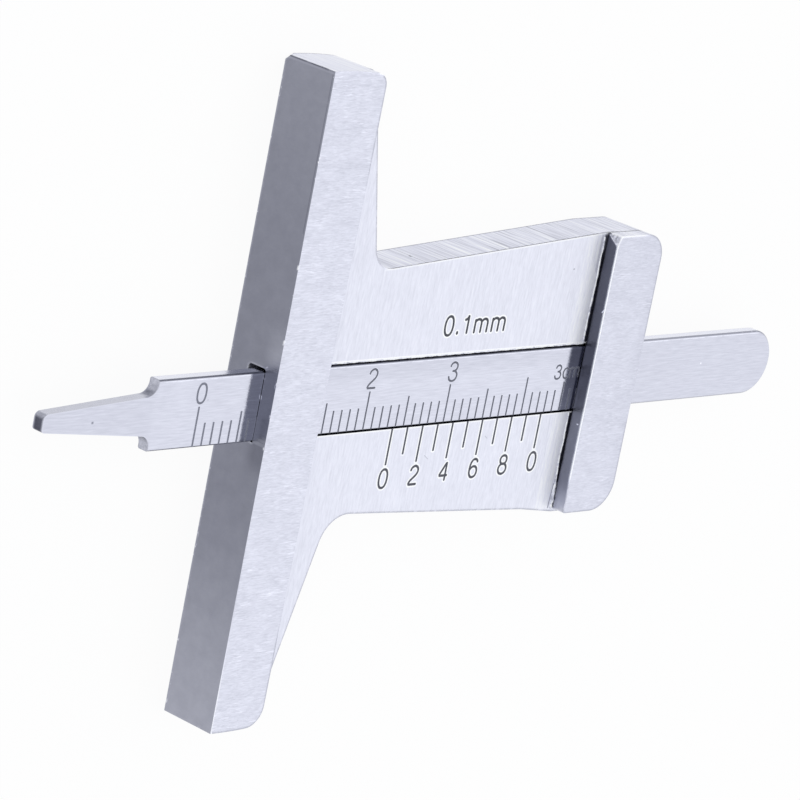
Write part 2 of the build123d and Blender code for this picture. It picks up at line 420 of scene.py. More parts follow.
def frameFields(mm, place, facing, finish, brush):
    # Everything that the frame's tones depend on: places, patterns, and the masks of the regions
    x, y, z = place
    nx, ny, nz = facing
    ragged = grain(mm, finish["ragged"], detail=3.0)
    fromMiddle = sizeOf(maths("SUBTRACT", y, finish["slotMiddle"]))
    return findRegions({
        "x": x, "y": y, "z": z, "nz": nz, "sizeY": sizeOf(y), "sizeNy": sizeOf(ny),
        "ragged": ragged, "wavyX": wavy(x, ragged, finish["wavyFoot"]),
        "fromMiddle": wavy(fromMiddle, ragged, finish["wavyLip"]),
        "strokes": handBrushing(mm, brush),
        "plateLines": groundLines(mm, finish["plateLines"], finish["plateCuts"],
                                  finish["plateGlints"]),
        "plateGrain": grain(mm, finish["plateGrain"], detail=2.0),
        "sideLines": sideGrinding(mm, nx),
        "clouds": grain(mm, finish["clouds"], detail=2.0),
        "lapped": grain(mm, finish["lapped"], detail=5.0, roughness=0.65),
        "chipGrain": grain(mm, finish["chipGrain"], detail=3.0),
        "speckGrain": grain(mm, finish["speckGrain"], detail=2.0),
    }, finish["regions"])


def frameTone(finish, field):
    # At the bridge's foot the plate has a painted shadow before the braze bead, painted light
    # nearer the wall, and black painted shade from the bead up to the wall; the slot's edges have a
    # painted highlight
    plate = layered(finish["plateTone"], field, finish["plateLayers"])
    plate = marked(plate, field["x"], field["y"], finish["plateMarks"])
    plate = layered(plate, field, finish["footLayers"])
    footShadeTone = between(field["footUpper"], finish["footShadeTone"], finish["footUpperShadeTone"])
    plate = between(field["foot"], plate, footShadeTone)
    bar = varied(finish["barTone"], field["strokes"], finish["brushing"])

    barEnd = field["barEnd"]
    grinding = between(barEnd, field["grinding"], finish["endGrinding"])
    side = between(barEnd, finish["sideTone"], finish["endTone"])
    side = varied(side, field["sideLines"], grinding)
    side = marked(side, field["x"], field["z"], finish["sideMarks"])
    side = layered(side, field, finish["sideLayers"])

    # The datum face: painted dark reflection in zones, with lapping grain and marks
    lap = layered(finish["datumPaintedReflectionTone"], field, finish["datumLayers"])
    lap = marked(lap, field["y"], field["z"], finish["datumMarks"])
    lap = between(field["datumTopLine"], lap, finish["datumTopHighlightTone"])

    tone = between(field["front"], side, between(field["raised"], plate, bar))
    # The slot's floor: painted shade
    tone = between(field["slotFloor"], tone, finish["slotShadeTone"])
    tone = between(field["datum"], tone, lap)
    return varied(tone, field["clouds"], finish["clouding"])


def frameEdge(finish, field):
    # Painted edge tones: grey painted shade at the outline, painted highlights beside the slot and
    # over the upper side, dark dashes on that side, and at the datum face a painted highlight in
    # patches of chips and along its lower end, with a painted dark line between
    field["datumEdgeHighlight"] = between(field["anyChips"], finish["chipGapShade"], finish["chipHighlightTone"])
    tone = layered(finish["paintedEdgeTone"], field, finish["edgeLayers"])
    return tone, layered(field["worn"], field, finish["edgePaintLayers"]), finish["edgeRadius"]


def makeFrameSteel(finish, brush):
    material, mm, place, facing = newSteel("groundFrameSteel")
    field = frameFields(mm, place, facing, finish, brush)
    front, raised, datum = field["front"], field["raised"], field["datum"]
    rough = between(raised, finish["plateRoughness"], finish["barRoughness"])
    rough = between(front, finish["sideRoughness"], rough)
    rough = between(datum, rough, finish["datumRoughness"])
    rough = varied(rough, field["lapped"], finish["roughLapping"])
    metal = between(front, 1.0, between(raised, finish["plateMetal"], 1.0))
    height = between(raised, field["plateLines"], field["strokes"])
    height = between(front, field["sideLines"], height)
    steelSurface(frameTone(finish, field), frameEdge(finish, field), rough, metal, height,
                 finish["relief"])
    return material


giveMaterial(nodes["frame"], makeFrameSteel(frameFinish, handBrush))
print("frame finished")


# Bridge: the strap brazed over the rule

bridgeFinish = {
    "frontTone": 0.715, "sideTone": 0.875, "wallPaintedReflectionTone": 0.140, "facetTone": 0.62,
    "roughness": 0.40, "wallRoughness": 0.32, "relief": 0.004, "paintedEdgeTone": 0.40, "edgeRadius": 0.34,
    # Patterns: features to the millimetre
    "blotches": (1.9, 1.9, 1.9), "filed": (4.0, 4.0, 4.0), "wornGrain": (2.0, 1.3, 2.0),
    "clouds": (0.12, 0.12, 0.12),
    "slant": 0.35, "wavyX": 0.02, "wavyZ": 0.015, "grinding": 0.24, "filing": 0.55,
    "roughBlotches": 0.08,
    "frontLayers": [("strokes", 0.10), ("farEnd", -0.05), ("lowerCorner", 0.02)],
    "wallLayers": [("wallMiddle", 0.25, 1.0), ("wallLow", 0.62, 1.0), ("blotches", 0.06)],
    "overLayers": [("clouds", 0.015), ("undercutShade", 0.06, 1.0), ("lip", 1.08, 1.0)],
    "edgeLayers": [("light", 0.97, 1.0), ("wallFootShade", 0.06, 1.0)],
    "edgePaintLayers": [("hidden", -1.0)],
    "regions": {
        "front": [("nz", 0.75, 0.9)],
        "wall": [("nx", -0.85, -0.95)],
        # Faces that look down: painted shade
        "undercutShade": [("nz", -0.3, -0.5)],
        "facet": [("nx", -0.7, -0.8), ("ny", 0.15, 0.25)],
        "farEnd": [("x", 44.5, 46.1)],
        "lowerCorner": [("slanted", 11.5, 10.0)],
        # The wall's painted dark reflection grows lighter towards its lower end
        "wallMiddle": [("y", 0.5, -4.5)],
        "wallLow": [("y", -9.0, -12.5)],
        # Along the wall's front and top edges: a painted highlight
        "frontLip": ["front", ("wavyX", 39.91, 39.87)],
        "wallLip": ["wall", ("wavyZ", 5.52, 5.55)],
        "anyLip": ("frontLip", "wallLip"),
        "lip": ["anyLip", ("y", -11.5, -8.6, 0.35, 0.95)],
        # Edges: painted highlights and, at the wall's foot, painted shade
        # The share of the painted edge tones, ragged along the edges
        "worn": [("wornGrain", -0.9, -0.2, 0.5, 1.0)],
        "atWall": [("x", 40.0, 39.9)],
        "wallEdge": ["atWall", ("z", 4.7, 5.2), ("y", -9.8, -8.6)],
        "wallFootShade": ["atWall", ("z", 4.7, 4.5)],
        "corner": [("x", 40.35, 40.25), ("y", 12.1, 12.3)],
        "upperEdge": [("y", 12.9, 13.0), ("x", 44.5, 43.0)],
        "light": ("wallEdge", "corner", "upperEdge"),
        "behindRule": [("x", 45.4, 45.6), ("sizeY", 4.2, 3.5)],
        "jointEnd": [("x", 40.4, 41.4), ("z", 4.6, 4.4)],
        "hidden": ("behindRule", "jointEnd"),
    },
    "wallMarks": [
        ((-3.97, 5.15), (-3.97, 5.25), 0.08, 0.9, 1.0), ((6.35, 5.36), (6.6, 5.52), 0.08, 1.0, 0.9),
    ],
}


def makeBridgeSteel(finish, brush):
    material, mm, (x, y, z), (nx, ny, nz) = newSteel("groundBridgeSteel")
    blotches = grain(mm, finish["blotches"], detail=4.0, roughness=0.7)
    field = findRegions({
        "x": x, "y": y, "z": z, "nx": nx, "ny": ny, "nz": nz, "sizeY": sizeOf(y),
        "slanted": wavy(y, x, finish["slant"]), "blotches": blotches,
        "wavyX": wavy(x, blotches, finish["wavyX"]), "wavyZ": wavy(z, blotches, finish["wavyZ"]),
        "strokes": handBrushing(mm, brush),
        "clouds": grain(mm, finish["clouds"], detail=2.0),
        "wornGrain": grain(mm, finish["wornGrain"], detail=3.0),
    }, finish["regions"])

    sideLines = sideGrinding(mm, nx)
    front = layered(finish["frontTone"], field, finish["frontLayers"])
    side = varied(finish["sideTone"], sideLines, finish["grinding"])
    # The wall: painted dark reflection
    wall = layered(finish["wallPaintedReflectionTone"], field, finish["wallLayers"])
    wall = marked(wall, y, z, finish["wallMarks"])
    filed = grain(mm, finish["filed"], detail=2.0)
    tone = between(field["wall"], between(field["front"], side, front), wall)
    tone = between(field["facet"], tone, varied(finish["facetTone"], filed, finish["filing"]))
    # Clouds, painted shade on the faces that look down, and a painted highlight along the wall's
    # edges
    tone = layered(tone, field, finish["overLayers"])

    # Edges: grey painted shade at the outline, painted highlights round the facet, over the upper
    # side and along the wall, and black painted shade at the wall's foot
    edge = (layered(finish["paintedEdgeTone"], field, finish["edgeLayers"]),
            layered(field["worn"], field, finish["edgePaintLayers"]), finish["edgeRadius"])
    rough = between(field["wall"], finish["roughness"], finish["wallRoughness"])
    rough = varied(rough, blotches, finish["roughBlotches"])
    height = between(field["front"], sideLines, field["strokes"])
    steelSurface(tone, edge, rough, 1.0, height, finish["relief"])
    return material


giveMaterial(nodes["bridge"], makeBridgeSteel(bridgeFinish, handBrush))
print("bridge finished")


# Braze that has crept out at the bridge's foot, with a fillet at its lower end, and the burr that
# the milling of the slot has left on its upper edge: thin ragged ridges

ridgeSettings = {
    "plateFace": 4.2, "perMm": 14, "corners": 10, "phaseStep": 1.7,
    # Sines of these paces to the millimetre, each divided by its number, make the size swing
    "swings": ((2.1, 2.2), (5.3, 2.6), (9.7, 3.4), (17.0, 4.2)),
    "ragged": 0.32, "thinnest": 0.25, "tipShare": 0.02, "sway": 0.2, "swayLag": 9,
    "tone": 1.1, "roughness": 0.35, "metallic": 0.3, "relief": 0.006,
    "blotchesPerMm": (1.5, 1.5, 1.5), "blotchLevels": (0.2, -0.8), "blotches": -0.5,
    # Paths of x, y, half width and half height
    "upperFoot": [
        (39.50, 3.22, 0.085, 0.05), (39.50, 6.5, 0.085, 0.05), (39.55, 7.5, 0.085, 0.05),
        (39.58, 9.6, 0.08, 0.05), (39.52, 10.9, 0.08, 0.05), (39.58, 11.8, 0.08, 0.06),
        (39.54, 12.9, 0.075, 0.05),
    ],
    "lowerFoot": [
        (39.57, -3.12, 0.07, 0.05), (39.54, -4.9, 0.07, 0.05), (39.59, -5.8, 0.07, 0.05),
        (39.51, -7.35, 0.07, 0.05), (39.58, -8.3, 0.07, 0.05), (39.64, -9.2, 0.08, 0.07),
        (39.65, -10.1, 0.13, 0.13), (39.64, -11.3, 0.15, 0.16), (39.64, -12.15, 0.14, 0.13),
    ],
    "slotEdge": [
        (6.35, 3.185, 0.05, 0.035), (23.0, 3.175, 0.05, 0.035), (39.6, 3.185, 0.055, 0.04),
    ],
}


def ridgeRings(run, settings, phase):
    # Oval rings round a path: their size swings with the sines, and the ends close
    run = np.array(run)
    passed = np.concatenate([[0.0], np.cumsum(np.hypot(*np.diff(run[:, :2], axis=0).T))])
    along = np.linspace(0, passed[-1], int(passed[-1] * settings["perMm"]))
    x, y, wide, high = (np.interp(along, passed, values) for values in run.T)
    swing = sum(np.sin(along * pace + phase * pace) / share for pace, share in settings["swings"])
    toEnd = np.minimum(along, passed[-1] - along)
    closing = np.sqrt(np.clip(toEnd / wide[0], settings["tipShare"], 1.0))
    size = closing * np.clip(1.0 + settings["ragged"] * swing, settings["thinnest"], None)
    forward = np.gradient(np.column_stack([x, y]), axis=0)
    forward /= np.linalg.norm(forward, axis=1)[:, None]
    turn = np.linspace(0, 2 * np.pi, settings["corners"], endpoint=False)
    sway = settings["sway"] * (wide * np.roll(swing, settings["swayLag"]))[:, None]
    aside = sway + (wide * size)[:, None] * np.cos(turn)
    ringX, ringY = x[:, None] - forward[:, 1:] * aside, y[:, None] + forward[:, :1] * aside
    ringZ = settings["plateFace"] + (high * size)[:, None] * np.sin(turn)
    return np.stack([ringX, ringY, ringZ], axis=-1)


def makeRidges(settings):
    points, faces, first = [], [], 0
    for k, run in enumerate((settings["upperFoot"], settings["lowerFoot"], settings["slotEdge"])):
        rings = ridgeRings(run, settings, settings["phaseStep"] * k)
        index = first + np.arange(rings.shape[0] * rings.shape[1]).reshape(rings.shape[:2])
        here, ahead = index[:-1], index[1:]
        walls = [here, np.roll(here, -1, axis=1), np.roll(ahead, -1, axis=1), ahead]
        points.append(rings.reshape(-1, 3))
        faces += np.stack(walls, axis=-1).reshape(-1, 4).tolist()
        faces += [index[0, ::-1].tolist(), index[-1].tolist()]
        first += index.size
    points = (np.concatenate(points) * metresPerMm).tolist()
    ridges = addMesh("braze_and_burr", points, faces)
    ridges.data.shade_smooth()
    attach(ridges, "gauge_body")
    return ridges


def makeBrazeMetal(settings):
    material, mm, _, _ = newSteel("silverBraze")
    blotches = grain(mm, settings["blotchesPerMm"], detail=4.0, roughness=0.7)
    dark = rise(blotches, *settings["blotchLevels"])
    tone = varied(settings["tone"], dark, settings["blotches"])
    steelSurface(tone, steelSettings["plainEdge"], settings["roughness"],
                 settings["metallic"], blotches, settings["relief"])
    return material


giveMaterial(makeRidges(ridgeSettings), makeBrazeMetal(ridgeSettings))
print("braze laid")


# Rule: fine hairlines along it, painted shade at the hollow-ground shoulders and a painted dark
# reflection on the tip's end

ruleFinish = {
    "faceTone": 0.700, "sideTone": 0.89, "hollowShadeTone": 0.52, "tipEndReflectionTone": 0.10, "brokenEdgeReflectionTone": 0.16,
    "roughness": 0.11, "sideRoughness": 0.25, "relief": 0.0012,
    "paintedEdgeTone": 0.40, "tipEdgeTone": 0.62, "edgeShare": 0.7, "edgeRadius": 0.18,
    # Patterns: features to the millimetre
    "hairlines": (0.5, 6.5, 6.5), "hairCuts": 0.6, "hairGlints": 0.5,
    "blotches": (1.6, 1.6, 1.6), "clouds": (0.15, 0.3, 0.3), "clouding": 0.012,
    "middleZ": 3.61, "wavyY": 0.02, "roughHairlines": 0.12,
    "faceLayers": [("hairlines", 0.070), ("left", -0.05), ("tail", -0.08), ("tipFace", -0.05),
                   ("windowTop", -0.07), ("window", -0.025), ("greyBand", 0.40, 0.7),
                   ("highlightLine", 0.95, 1.0)],
    "hollowLayers": [("deepestShade", 0.27, 1.0), ("blotches", 0.30)],
    "tipLayers": [("rim", 0.42, 1.0), ("blotches", 0.20)],
    "sideLayers": [("tip", 0.60, 1.0), ("hollow", "hollowShadeTone", 1.0), ("tipBlotches", 0.06),
                   ("backLine", 0.40, 0.6), ("tipEnd", "tipEndReflectionTone", 1.0), ("hairlines", 0.03)],
    "brokenLayers": [("left", 0.20, 1.0), ("tail", 0.42, 1.0), ("brokenBlotches", 0.8)],
    "regions": {
        "front": [("nz", 0.85, 0.95)],
        "broken": [("nz", 0.3, 0.5), ("nz", 0.95, 0.85)],
        "left": [("x", 0.0, -0.6)],
        "tail": [("x", 45.8, 46.4)],
        "tipFace": [("x", -11.5, -12.5)],
        # Below the broken upper edge the face is grey in the window and then has a painted
        # highlight line
        "window": [("x", 5.8, 6.4), ("x", 40.2, 39.6)],
        "windowTop": ["window", ("y", 0.8, 2.2)],
        "greyBand": [("wavyY", 2.84, 3.0, 0.03), "window"],
        "highlightLine": [("wavyY", 2.76, 2.81, 0.03), ("blotches", -0.8, 0.2, 0.2, 0.75),
                      ("x", -11.5, -10.8)],
        # Along the back edge of the sides: painted shade
        "backLine": [("z", 3.15, 3.10), ("nz", -0.8, -0.5)],
        "tip": [("x", -11.9, -12.2)],
        # The hollows at the shoulders take painted shade, deepest in their middle
        "hollow": [("x", -11.8, -11.88), ("x", -13.25, -12.75)],
        "deepestShade": [("x", -12.5, -12.25, 0.35)],
        # The tip's end: painted dark reflection with a painted highlight on its rim
        "tipEnd": [("x", -23.43, -23.60)],
        "rim": (("sizeY", 0.42, 0.78), ("sizeZ", 0.30, 0.55)),
        "tipBlotches": ["tip", "blotches"],
        "brokenBlotches": [("blotches", 0.4, 1.2)],
    },
    "faceMarks": [
        ((56.78, 0.31), (56.84, 0.31), 0.10, 0.97, 1.0),
        ((-18.56, -0.10), (-18.48, -0.10), 0.14, 0.25, 0.9),
        ((-6.08, 0.97), (-6.02, 0.97), 0.09, 0.50, 0.7),
        ((-0.95, -2.92), (-0.69, -2.92), 0.07, 0.97, 0.9),
        ((-1.3, 0.62), (-0.2, 0.58), 0.06, 0.85, 0.5),
    ],
}


def makeRuleSteel(finish):
    material, mm, (x, y, z), (_, _, nz) = newSteel("polishedRuleSteel")
    hairlines = groundLines(mm, finish["hairlines"], finish["hairCuts"], finish["hairGlints"])
    clouds = grain(mm, finish["clouds"], detail=3.0)
    blotches = grain(mm, finish["blotches"], detail=4.0, roughness=0.7)
    field = findRegions({
        "x": x, "y": y, "z": z, "nz": nz, "hairlines": hairlines, "blotches": blotches,
        "wavyY": wavy(y, blotches, finish["wavyY"]), "sizeY": sizeOf(y),
        "sizeZ": sizeOf(maths("SUBTRACT", z, finish["middleZ"])),
    }, finish["regions"])

    face = layered(finish["faceTone"], field, finish["faceLayers"])
    face = marked(face, x, y, finish["faceMarks"])
    # The sides are hollow at the shoulders, with painted shade there, and the tip's end has a
    # painted dark reflection with a painted highlight on its rounded rim
    field["hollowShadeTone"] = layered(finish["hollowShadeTone"], field, finish["hollowLayers"])
    field["tipEndReflectionTone"] = layered(finish["tipEndReflectionTone"], field, finish["tipLayers"])
    side = layered(finish["sideTone"], field, finish["sideLayers"])
    # The broken edge: painted dark reflection, lighter at the tail
    broken = layered(finish["brokenEdgeReflectionTone"], field, finish["brokenLayers"])
    tone = between(field["broken"], between(field["front"], side, face), broken)
    tone = varied(tone, clouds, finish["clouding"])
    rough = between(field["front"], finish["sideRoughness"], finish["roughness"])
    rough = varied(rough, hairlines, finish["roughHairlines"])
    # Painted edge tone: grey painted shade, lighter on the tip
    paintedEdgeTone = between(field["tip"], finish["paintedEdgeTone"], finish["tipEdgeTone"])
    edge = (paintedEdgeTone, finish["edgeShare"], finish["edgeRadius"])
    steelSurface(tone, edge, rough, 1.0, hairlines, finish["relief"])
    return material


giveMaterial(nodes["depth_rule"], makeRuleSteel(ruleFinish))
print("rule finished")


# Leaf spring: rolled strip, blotched a little where it was tempered

springFinish = {
    # The edge tone is a painted highlight along the spring's edges
    "tone": 0.42, "roughness": 0.34, "paintedEdgeTone": 0.75, "edgeShare": 0.4, "edgeRadius": 0.03,
    "relief": 0.002, "rolledPerMm": (0.12, 5.0, 5.0), "rolled": 0.05,
    "blotchesPerMm": (0.35, 0.5, 0.5), "blotches": 0.06, "roughBlotches": 0.10,
}


def makeSpringSteel(finish):
    material, mm, _, _ = newSteel("rolledSpringSteel")
    rolled = grain(mm, finish["rolledPerMm"], detail=4.0)
    blotches = grain(mm, finish["blotchesPerMm"], detail=3.0)
    tone = varied(finish["tone"], rolled, finish["rolled"])
    tone = varied(tone, blotches, finish["blotches"])
    rough = varied(finish["roughness"], blotches, finish["roughBlotches"])
    edge = (finish["paintedEdgeTone"], finish["edgeShare"], finish["edgeRadius"])
    steelSurface(tone, edge, rough, 1.0, rolled, finish["relief"])
    return material


giveMaterial(nodes["friction_spring"], makeSpringSteel(springFinish))
print("spring finished")


# Scale marks: strokes with round ends, etched dark and a few micrometres proud of the steel, each
# with a bright burr of the same shape under it that shows as a rim

markSettings = {
    "ruleFace": 4.16, "plateFace": 4.2, "proud": 0.006, "burrProud": 0.003, "sunk": 0.010,
    "sections": 40, "endSections": 6, "climb": 0.0006, "crossing": 0.0007,
    "tint": (0.9, 0.945, 1.2), "roughness": 0.55, "specular": 0.3,
    "specklePerMm": (6.0, 6.0, 6.0), "speckle": (0.85, 1.15), "fillingRelief": 0.003,
    "burrBlotchesPerMm": (2.5, 2.5, 2.5), "burrBlotchLevels": (0.0, -1.0), "burrBlotches": -0.12,
    "burrRelief": 0.001,
}
# Squareness of a stroke's ends: figures have round ones, and the scales' lines nearly square ones
roundEnds, squareEnds = 1.0, 0.4


def smoothPath(points, count=48):
    # Curve through the points: its slope at each one is half the way from the point before to the
    # point after, and each span is the cubic with those ends and slopes
    points = np.asarray(points, float)
    slopes = np.gradient(points, axis=0)
    steps = np.linspace(0, len(points) - 1, count)
    span = np.minimum(steps.astype(int), len(points) - 2)
    u = (steps - span)[:, None]
    return ((2 * u**3 - 3 * u**2 + 1) * points[span] + (u**3 - 2 * u**2 + u) * slopes[span]
            + (3 * u**2 - 2 * u**3) * points[span + 1] + (u**3 - u**2) * slopes[span + 1])


def oval(middle, radii, start=90.0, end=475.0, power=2.3, count=64):
    # Oval of half axes a and b: a times the cosine and b times the sine, each with its size raised
    # to 2 over the power
    angle = np.radians(np.linspace(start, end, count))
    across, up = np.cos(angle), np.sin(angle)
    across = np.sign(across) * np.abs(across) ** (2 / power)
    up = np.sign(up) * np.abs(up) ** (2 / power)
    return np.column_stack([middle[0] + radii[0] * across, middle[1] + radii[1] * up])


# Numerals and letters on a baseline: each is a list of centre lines, in heights of a numeral
numerals = {
    "0": [oval((0, 0.5), (0.295, 0.5))],
    "1": [[(-0.27, 0.76), (-0.14, 0.775), (-0.04, 0.84), (0.02, 1.0)], [(0.02, 1.0), (0.02, 0.0)]],
    "2": [smoothPath([(-0.27, 0.72), (-0.20, 0.90), (0.02, 1.0), (0.22, 0.91), (0.29, 0.73),
                      (0.22, 0.56), (0.09, 0.43), (-0.16, 0.24), (-0.26, 0.12), (-0.31, 0.0)]),
          [(-0.32, 0.0), (0.32, 0.0)]],
    "3": [smoothPath([(-0.27, 0.75), (-0.19, 0.93), (0.01, 1.0), (0.20, 0.92), (0.27, 0.76),
                      (0.19, 0.59), (0.02, 0.535), (-0.09, 0.535)]),
          smoothPath([(-0.06, 0.535), (0.05, 0.535), (0.22, 0.46), (0.31, 0.28), (0.22, 0.07),
                      (0.0, 0.0), (-0.21, 0.07), (-0.31, 0.29)])],
    "4": [[(0.14, 1.0), (-0.32, 0.29)], [(-0.33, 0.285), (0.33, 0.285)],
          [(0.15, 1.02), (0.15, -0.02)]],
    "6": [smoothPath([(0.27, 0.79), (0.18, 0.94), (0.02, 1.0), (-0.15, 0.93), (-0.26, 0.73),
                      (-0.29, 0.49), (-0.275, 0.24), (-0.16, 0.05), (0.0, 0.0), (0.20, 0.07),
                      (0.29, 0.30), (0.20, 0.53), (0.01, 0.60), (-0.16, 0.55), (-0.28, 0.40)])],
    "8": [oval((0, 0.775), (0.25, 0.235), power=2.1), oval((0, 0.275), (0.30, 0.28), power=2.1)],
    ".": [[(0.0, 0.0), (0.0, 0.20)]],
    "m": [[(-0.465, 0.77), (-0.465, 0.0)],
          smoothPath([(-0.465, 0.60), (-0.36, 0.70), (-0.22, 0.735), (-0.07, 0.69), (0.0, 0.56),
                      (0.0, 0.28), (0.0, 0.0)]),
          smoothPath([(0.0, 0.60), (0.11, 0.70), (0.25, 0.735), (0.40, 0.68), (0.465, 0.54),
                      (0.465, 0.27), (0.465, 0.0)])],
    "c": [oval((0.0, 0.37), (0.30, 0.37), start=38, end=322, power=2.1)],
}
# A full stop is a wider stroke than the rest
stopWidth = 1.15


def strokeRings(path, width, face, proud, settings, squareness):
    # Rings of a stroke: at the distance r times 1 - cos(t) from an end the half width is r times
    # sin(t), up to t = 90 degrees, and then r. A ring has two low and two high corners, and
    # squareness shortens the round at the ends. The stroke climbs a little along its way, so that
    # one that comes back to its start doesn't lie in itself.
    path = np.asarray(path, float)
    along = np.concatenate([[0.0], np.cumsum(np.hypot(*np.diff(path, axis=0).T))])
    radius, total = width / 2, along[-1]
    turn = np.radians(np.linspace(10, 90, settings["endSections"]))
    ends = radius * (1 - np.cos(turn)) * squareness
    middle = settings["sections"] - 2 * settings["endSections"]
    run = np.linspace(ends[-1], total - ends[-1], middle + 2)[1:-1]
    distance = np.concatenate([ends, run, (total - ends)[::-1]])
    endHalf = radius * np.sin(turn)
    half = np.concatenate([endHalf, np.full(middle, radius), endHalf[::-1]])
    centre = np.column_stack([np.interp(distance, along, path[:, k]) for k in (0, 1)])
    forward = np.gradient(centre, distance, axis=0)
    forward /= np.linalg.norm(forward, axis=1)[:, None]
    left = np.column_stack([-forward[:, 1], forward[:, 0]]) * half[:, None]
    climb = settings["climb"] * distance / total
    low, high = face - settings["sunk"] + climb, face + proud + climb
    corners = [(left, low), (-left, low), (-left, high), (left, high)]
    return np.stack([np.column_stack([centre + side, z]) for side, z in corners], axis=1)


def makeMarks(name, body, strokes, face, proud, settings, material):
    # All strokes of one scale in one mesh; strokes that cross differ a little in height
    rings = np.stack([
        strokeRings(path, width, face + settings["crossing"] * (k % 3), proud, settings, squareness)
        for k, (path, width, squareness) in enumerate(strokes)])
    count, sections = rings.shape[0], rings.shape[1]
    index = np.arange(count * sections * 4).reshape(count, sections, 4)
    here, ahead = index[:, :-1], index[:, 1:]
    sides = np.stack([here, ahead, np.roll(ahead, -1, axis=2), np.roll(here, -1, axis=2)], axis=-1)
    faces = np.concatenate([sides.reshape(-1, 4), index[:, 0], index[:, -1, ::-1]])
    points = (rings.reshape(-1, 3) * metresPerMm).tolist()
    marks = addMesh(name, points, faces.tolist(), material)
    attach(marks, body)


def burred(strokes, burr):
    # The same strokes, wider by the burr and longer by half of it; a line of the scale starts that
    # much later
    wider = []
    for path, width, squareness in strokes:
        path = np.array(path, float)
        first, last = path[0] - path[1], path[-1] - path[-2]
        path[0] += first / np.hypot(*first) * burr / 2 * (1 if squareness == roundEnds else -1)
        path[-1] += last / np.hypot(*last) * burr / 2
        wider.append((path, width + burr, squareness))
    return wider


def writeText(text, height, origin, advance, width):
    # Strokes of the characters from left to right: each stands at its own place on the baseline
    strokes = []
    for character, step in zip(text, advance):
        share = stopWidth if character == "." else 1.0
        for line in numerals[character]:
            placed = np.asarray(line) * height + (origin[0] + step, origin[1])
            strokes.append((placed, width * share, roundEnds))
    return strokes


def makeMarkMaterial(name, scale, settings):
    # Dark filling of the scale's first tone up to where its tones change, and of the second past it
    material, mm, place, _ = newSteel(name)
    speckle = grain(mm, settings["specklePerMm"], detail=3.0)
    changed = rise(place[scale["toneAxis"]], *scale["toneChange"])
    tone = both(between(changed, *scale["tones"]), rise(speckle, -1.0, 1.0, *settings["speckle"]))
    colour = addNode("VectorMath", {0: settings["tint"], "Scale": tone}, operation="SCALE")
    bump = addNode("Bump", {"Height": speckle, "Strength": 1.0,
                            "Distance": settings["fillingRelief"] * metresPerMm}).outputs[0]
    shader = addNode("BsdfPrincipled", {
        "Base Color": colour.outputs[0], "Roughness": settings["roughness"],
        "Specular IOR Level": settings["specular"], "Normal": bump})
    addNode("OutputMaterial", {0: shader.outputs[0]})
    return material


def makeBurrSteel(name, scale, settings):
    # Bright metal pushed up beside a mark, in ragged patches
    material, mm, place, _ = newSteel(name)
    blotches = grain(mm, settings["burrBlotchesPerMm"], detail=3.0)
    changed = rise(place[scale["toneAxis"]], *scale["toneChange"])
    dark = rise(blotches, *settings["burrBlotchLevels"])
    tone = varied(between(changed, *scale["burrTones"]), dark, settings["burrBlotches"])
    steelSurface(tone, steelSettings["plainEdge"], scale["burrRoughness"],
                 scale["burrMetal"], blotches, settings["burrRelief"])
    return material


ruleScale = {
    "zeroX": -6.907, "last": 50, "from": -2.93, "unitTo": -0.95, "fiveTo": -0.24, "tenTo": 0.47,
    "figures": (("0", 0), ("1", 10), ("2", 20), ("3", 30)), "figureShift": 0.04,
    "lineWidth": 0.19, "numeralWidth": 0.20, "numeralHeight": 1.66, "numeralFoot": 0.75,
    "unit": "3cm", "unitHeight": 1.25, "unitFoot": 0.06, "unitX": 38.10,
    "unitAdvance": (-1.10, 0.0, 1.10), "unitWidth": 0.18,
    "toneAxis": 0, "toneChange": (0.0, -0.6), "tones": (0.158, 0.215),
    "burr": 0.10, "burrTones": (0.80, 0.69), "burrRoughness": 0.16, "burrMetal": 1.0,
}


def ruleStrokes(scale):
    strokes = []
    for k in range(scale["last"] + 1):
        top = scale["tenTo"] if k % 10 == 0 else scale["fiveTo"] if k % 5 == 0 else scale["unitTo"]
        x = scale["zeroX"] + k
        strokes.append(([(x, scale["from"]), (x, top)], scale["lineWidth"], squareEnds))
    for text, k in scale["figures"]:
        origin = (scale["zeroX"] + k + scale["figureShift"], scale["numeralFoot"])
        strokes += writeText(text, scale["numeralHeight"], origin, [0.0], scale["numeralWidth"])
    origin = (scale["unitX"], scale["unitFoot"])
    return strokes + writeText(scale["unit"], scale["unitHeight"], origin, scale["unitAdvance"],
                               scale["unitWidth"])


vernierScale = {
    "zeroX": 16.756, "step": 1.9, "divisions": 10, "from": -3.04, "evenTo": -6.32, "oddTo": -5.50,
    "climb": 0.0055, "figureShift": 0.03,
    "lineWidth": 0.215, "numeralWidth": 0.228, "numeralHeight": 1.66, "numeralFoot": -8.34,
    "reads": "0.1mm", "readsX": 21.39, "readsFoot": 4.90, "readsHeight": 1.69,
    "readsAdvance": (0.0, 1.16, 2.32, 4.08, 6.28), "readsWidth": 0.23484,
    "toneAxis": 1, "toneChange": (3.0, 4.0), "tones": (0.085, 0.068),
    "burr": 0.29, "burrTones": (1.1, 1.1), "burrRoughness": 0.4, "burrMetal": 0.3,
}


